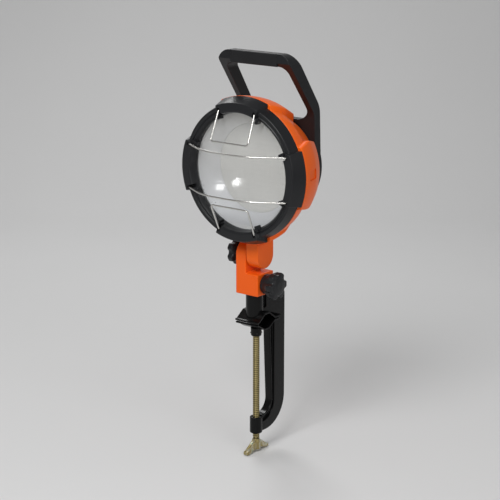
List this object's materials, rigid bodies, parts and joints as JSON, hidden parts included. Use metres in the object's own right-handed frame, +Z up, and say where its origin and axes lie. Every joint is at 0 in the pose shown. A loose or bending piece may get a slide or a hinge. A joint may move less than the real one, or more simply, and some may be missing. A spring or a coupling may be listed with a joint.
{
  "type": "clamp work light",
  "caption": "Round orange work light with wire guard and carrying handle, on a tilting, swivelling bracket and a C-clamp with screw and wing.",
  "frame": {"origin": "middle of the upper jaw's flat seat, on the clamp screw's axis", "axes": "+Z up along the clamp screw, -Y the way the lamp faces, +X to the lamp's left as it faces, on the swivel knob's side"},
  "size_m": [0.2124, 0.1568, 0.5972],
  "materials": {
    "orange_plastic": "smooth moulded orange plastic",
    "orange_paint": "orange powder coat",
    "black_plastic": "black moulded plastic, light satin sheen",
    "grip_rubber": "soft black grip",
    "black_paint": "glossy black paint over a casting",
    "black_steel": "blackened steel",
    "yellow_chromate": "yellow zinc chromate",
    "chrome_wire": "polished chrome",
    "window_glass": "clear",
    "silver_reflector": "pale silver lacquer",
    "diffuser": "frosted",
    "white_board": "white solder mask",
    "led": "phosphor yellow",
    "aluminium": "die cast",
    "driver_paint": "grey",
    "steel": "bright zinc plate",
    "brass": "turned",
    "rubber": "matt",
    "disc_plastic": "plain",
    "gland_plastic": "moulded"
  },
  "bodies": {
    "clamp": {"clamp_frame": "black_paint", "swivel_post": "black_paint", "thrust_washer": "steel", "upper_jaw": "black_paint", "jaw_screws": "black_steel"},
    "lower_jaw": {"lower_jaw": "black_paint", "jaw_collar": "black_paint", "collar_pins": "black_steel", "jaw_rivet": "black_steel"},
    "screw": {"clamp_screw": "yellow_chromate", "wing_handle": "yellow_chromate", "wing_pin": "yellow_chromate"},
    "bracket": {"bracket": "orange_paint", "bracket_insert": "brass"},
    "pressure_pad": {"pressure_pad": "brass"},
    "swivel_knob": {"swivel_knob": "black_plastic", "swivel_knob_stud": "steel"},
    "tilt_washer": {"tilt_washer": "steel"},
    "tilt_knob": {"tilt_knob": "black_plastic", "tilt_knob_insert": "brass"},
    "head": {"housing": "orange_plastic", "head_stem": "orange_plastic", "stem_screws": "steel", "pivot_stud": "steel", "friction_disc": "disc_plastic", "bezel_ring": "black_plastic", "ring_screws": "steel", "window_gasket": "rubber", "front_window": "window_glass", "reflector": "silver_reflector", "diffuser_disc": "diffuser", "led_board": "white_board", "led_packages": "led", "heat_sink": "aluminium", "sink_screws": "steel", "driver_case": "driver_paint", "rear_gasket": "rubber", "carry_handle": "black_plastic", "handle_screws": "steel", "grip_sleeve": "grip_rubber", "gland_body": "gland_plastic", "gland_bush": "rubber", "gland_dome_nut": "gland_plastic", "gland_lock_nut": "gland_plastic", "guard_wire_upper": "chrome_wire", "guard_wire_lower": "chrome_wire", "guard_loop_top": "chrome_wire", "guard_loop_bottom": "chrome_wire"}
  },
  "joints": [
    {"name": "jaw_slide", "type": "slide", "parent": "clamp", "child": "lower_jaw", "axis": [0, 0, -1], "range_m": [0, 0.12]},
    {"name": "screw_turn", "type": "hinge", "parent": "lower_jaw", "child": "screw", "pos_m": [0, 0, 0], "axis": [0, 0, -1], "range_deg": [0, 14410]},
    {"name": "bracket_swivel", "type": "hinge", "parent": "clamp", "child": "bracket", "pos_m": [0, -0.004, 0], "axis": [0, 0, 1], "continuous": true},
    {"name": "swivel_knob_travel", "type": "slide", "parent": "bracket", "child": "pressure_pad", "axis": [1, 0, 0], "range_m": [0, 0.00126]},
    {"name": "swivel_knob_turn", "type": "hinge", "parent": "pressure_pad", "child": "swivel_knob", "pos_m": [0, -0.004, 0.04675], "axis": [1, 0, 0], "range_deg": [0, 360]},
    {"name": "head_tilt", "type": "hinge", "parent": "bracket", "child": "head", "pos_m": [0, -0.004, 0.0883], "axis": [1, 0, 0], "range_deg": [-75, 85]},
    {"name": "tilt_knob_travel", "type": "slide", "parent": "head", "child": "tilt_washer", "axis": [-1, 0, 0], "range_m": [0, 0.00126]},
    {"name": "tilt_knob_turn", "type": "hinge", "parent": "tilt_washer", "child": "tilt_knob", "pos_m": [0, -0.004, 0.0883], "axis": [-1, 0, 0], "range_deg": [0, 360]}
  ],
  "couplings": [
    {"joint": "screw_turn", "follows": "jaw_slide", "rad_per_m": 2094.4},
    {"joint": "swivel_knob_travel", "follows": "swivel_knob_turn", "m_per_rad": 0.00019894},
    {"joint": "tilt_knob_travel", "follows": "tilt_knob_turn", "m_per_rad": 0.00019894}
  ]
}
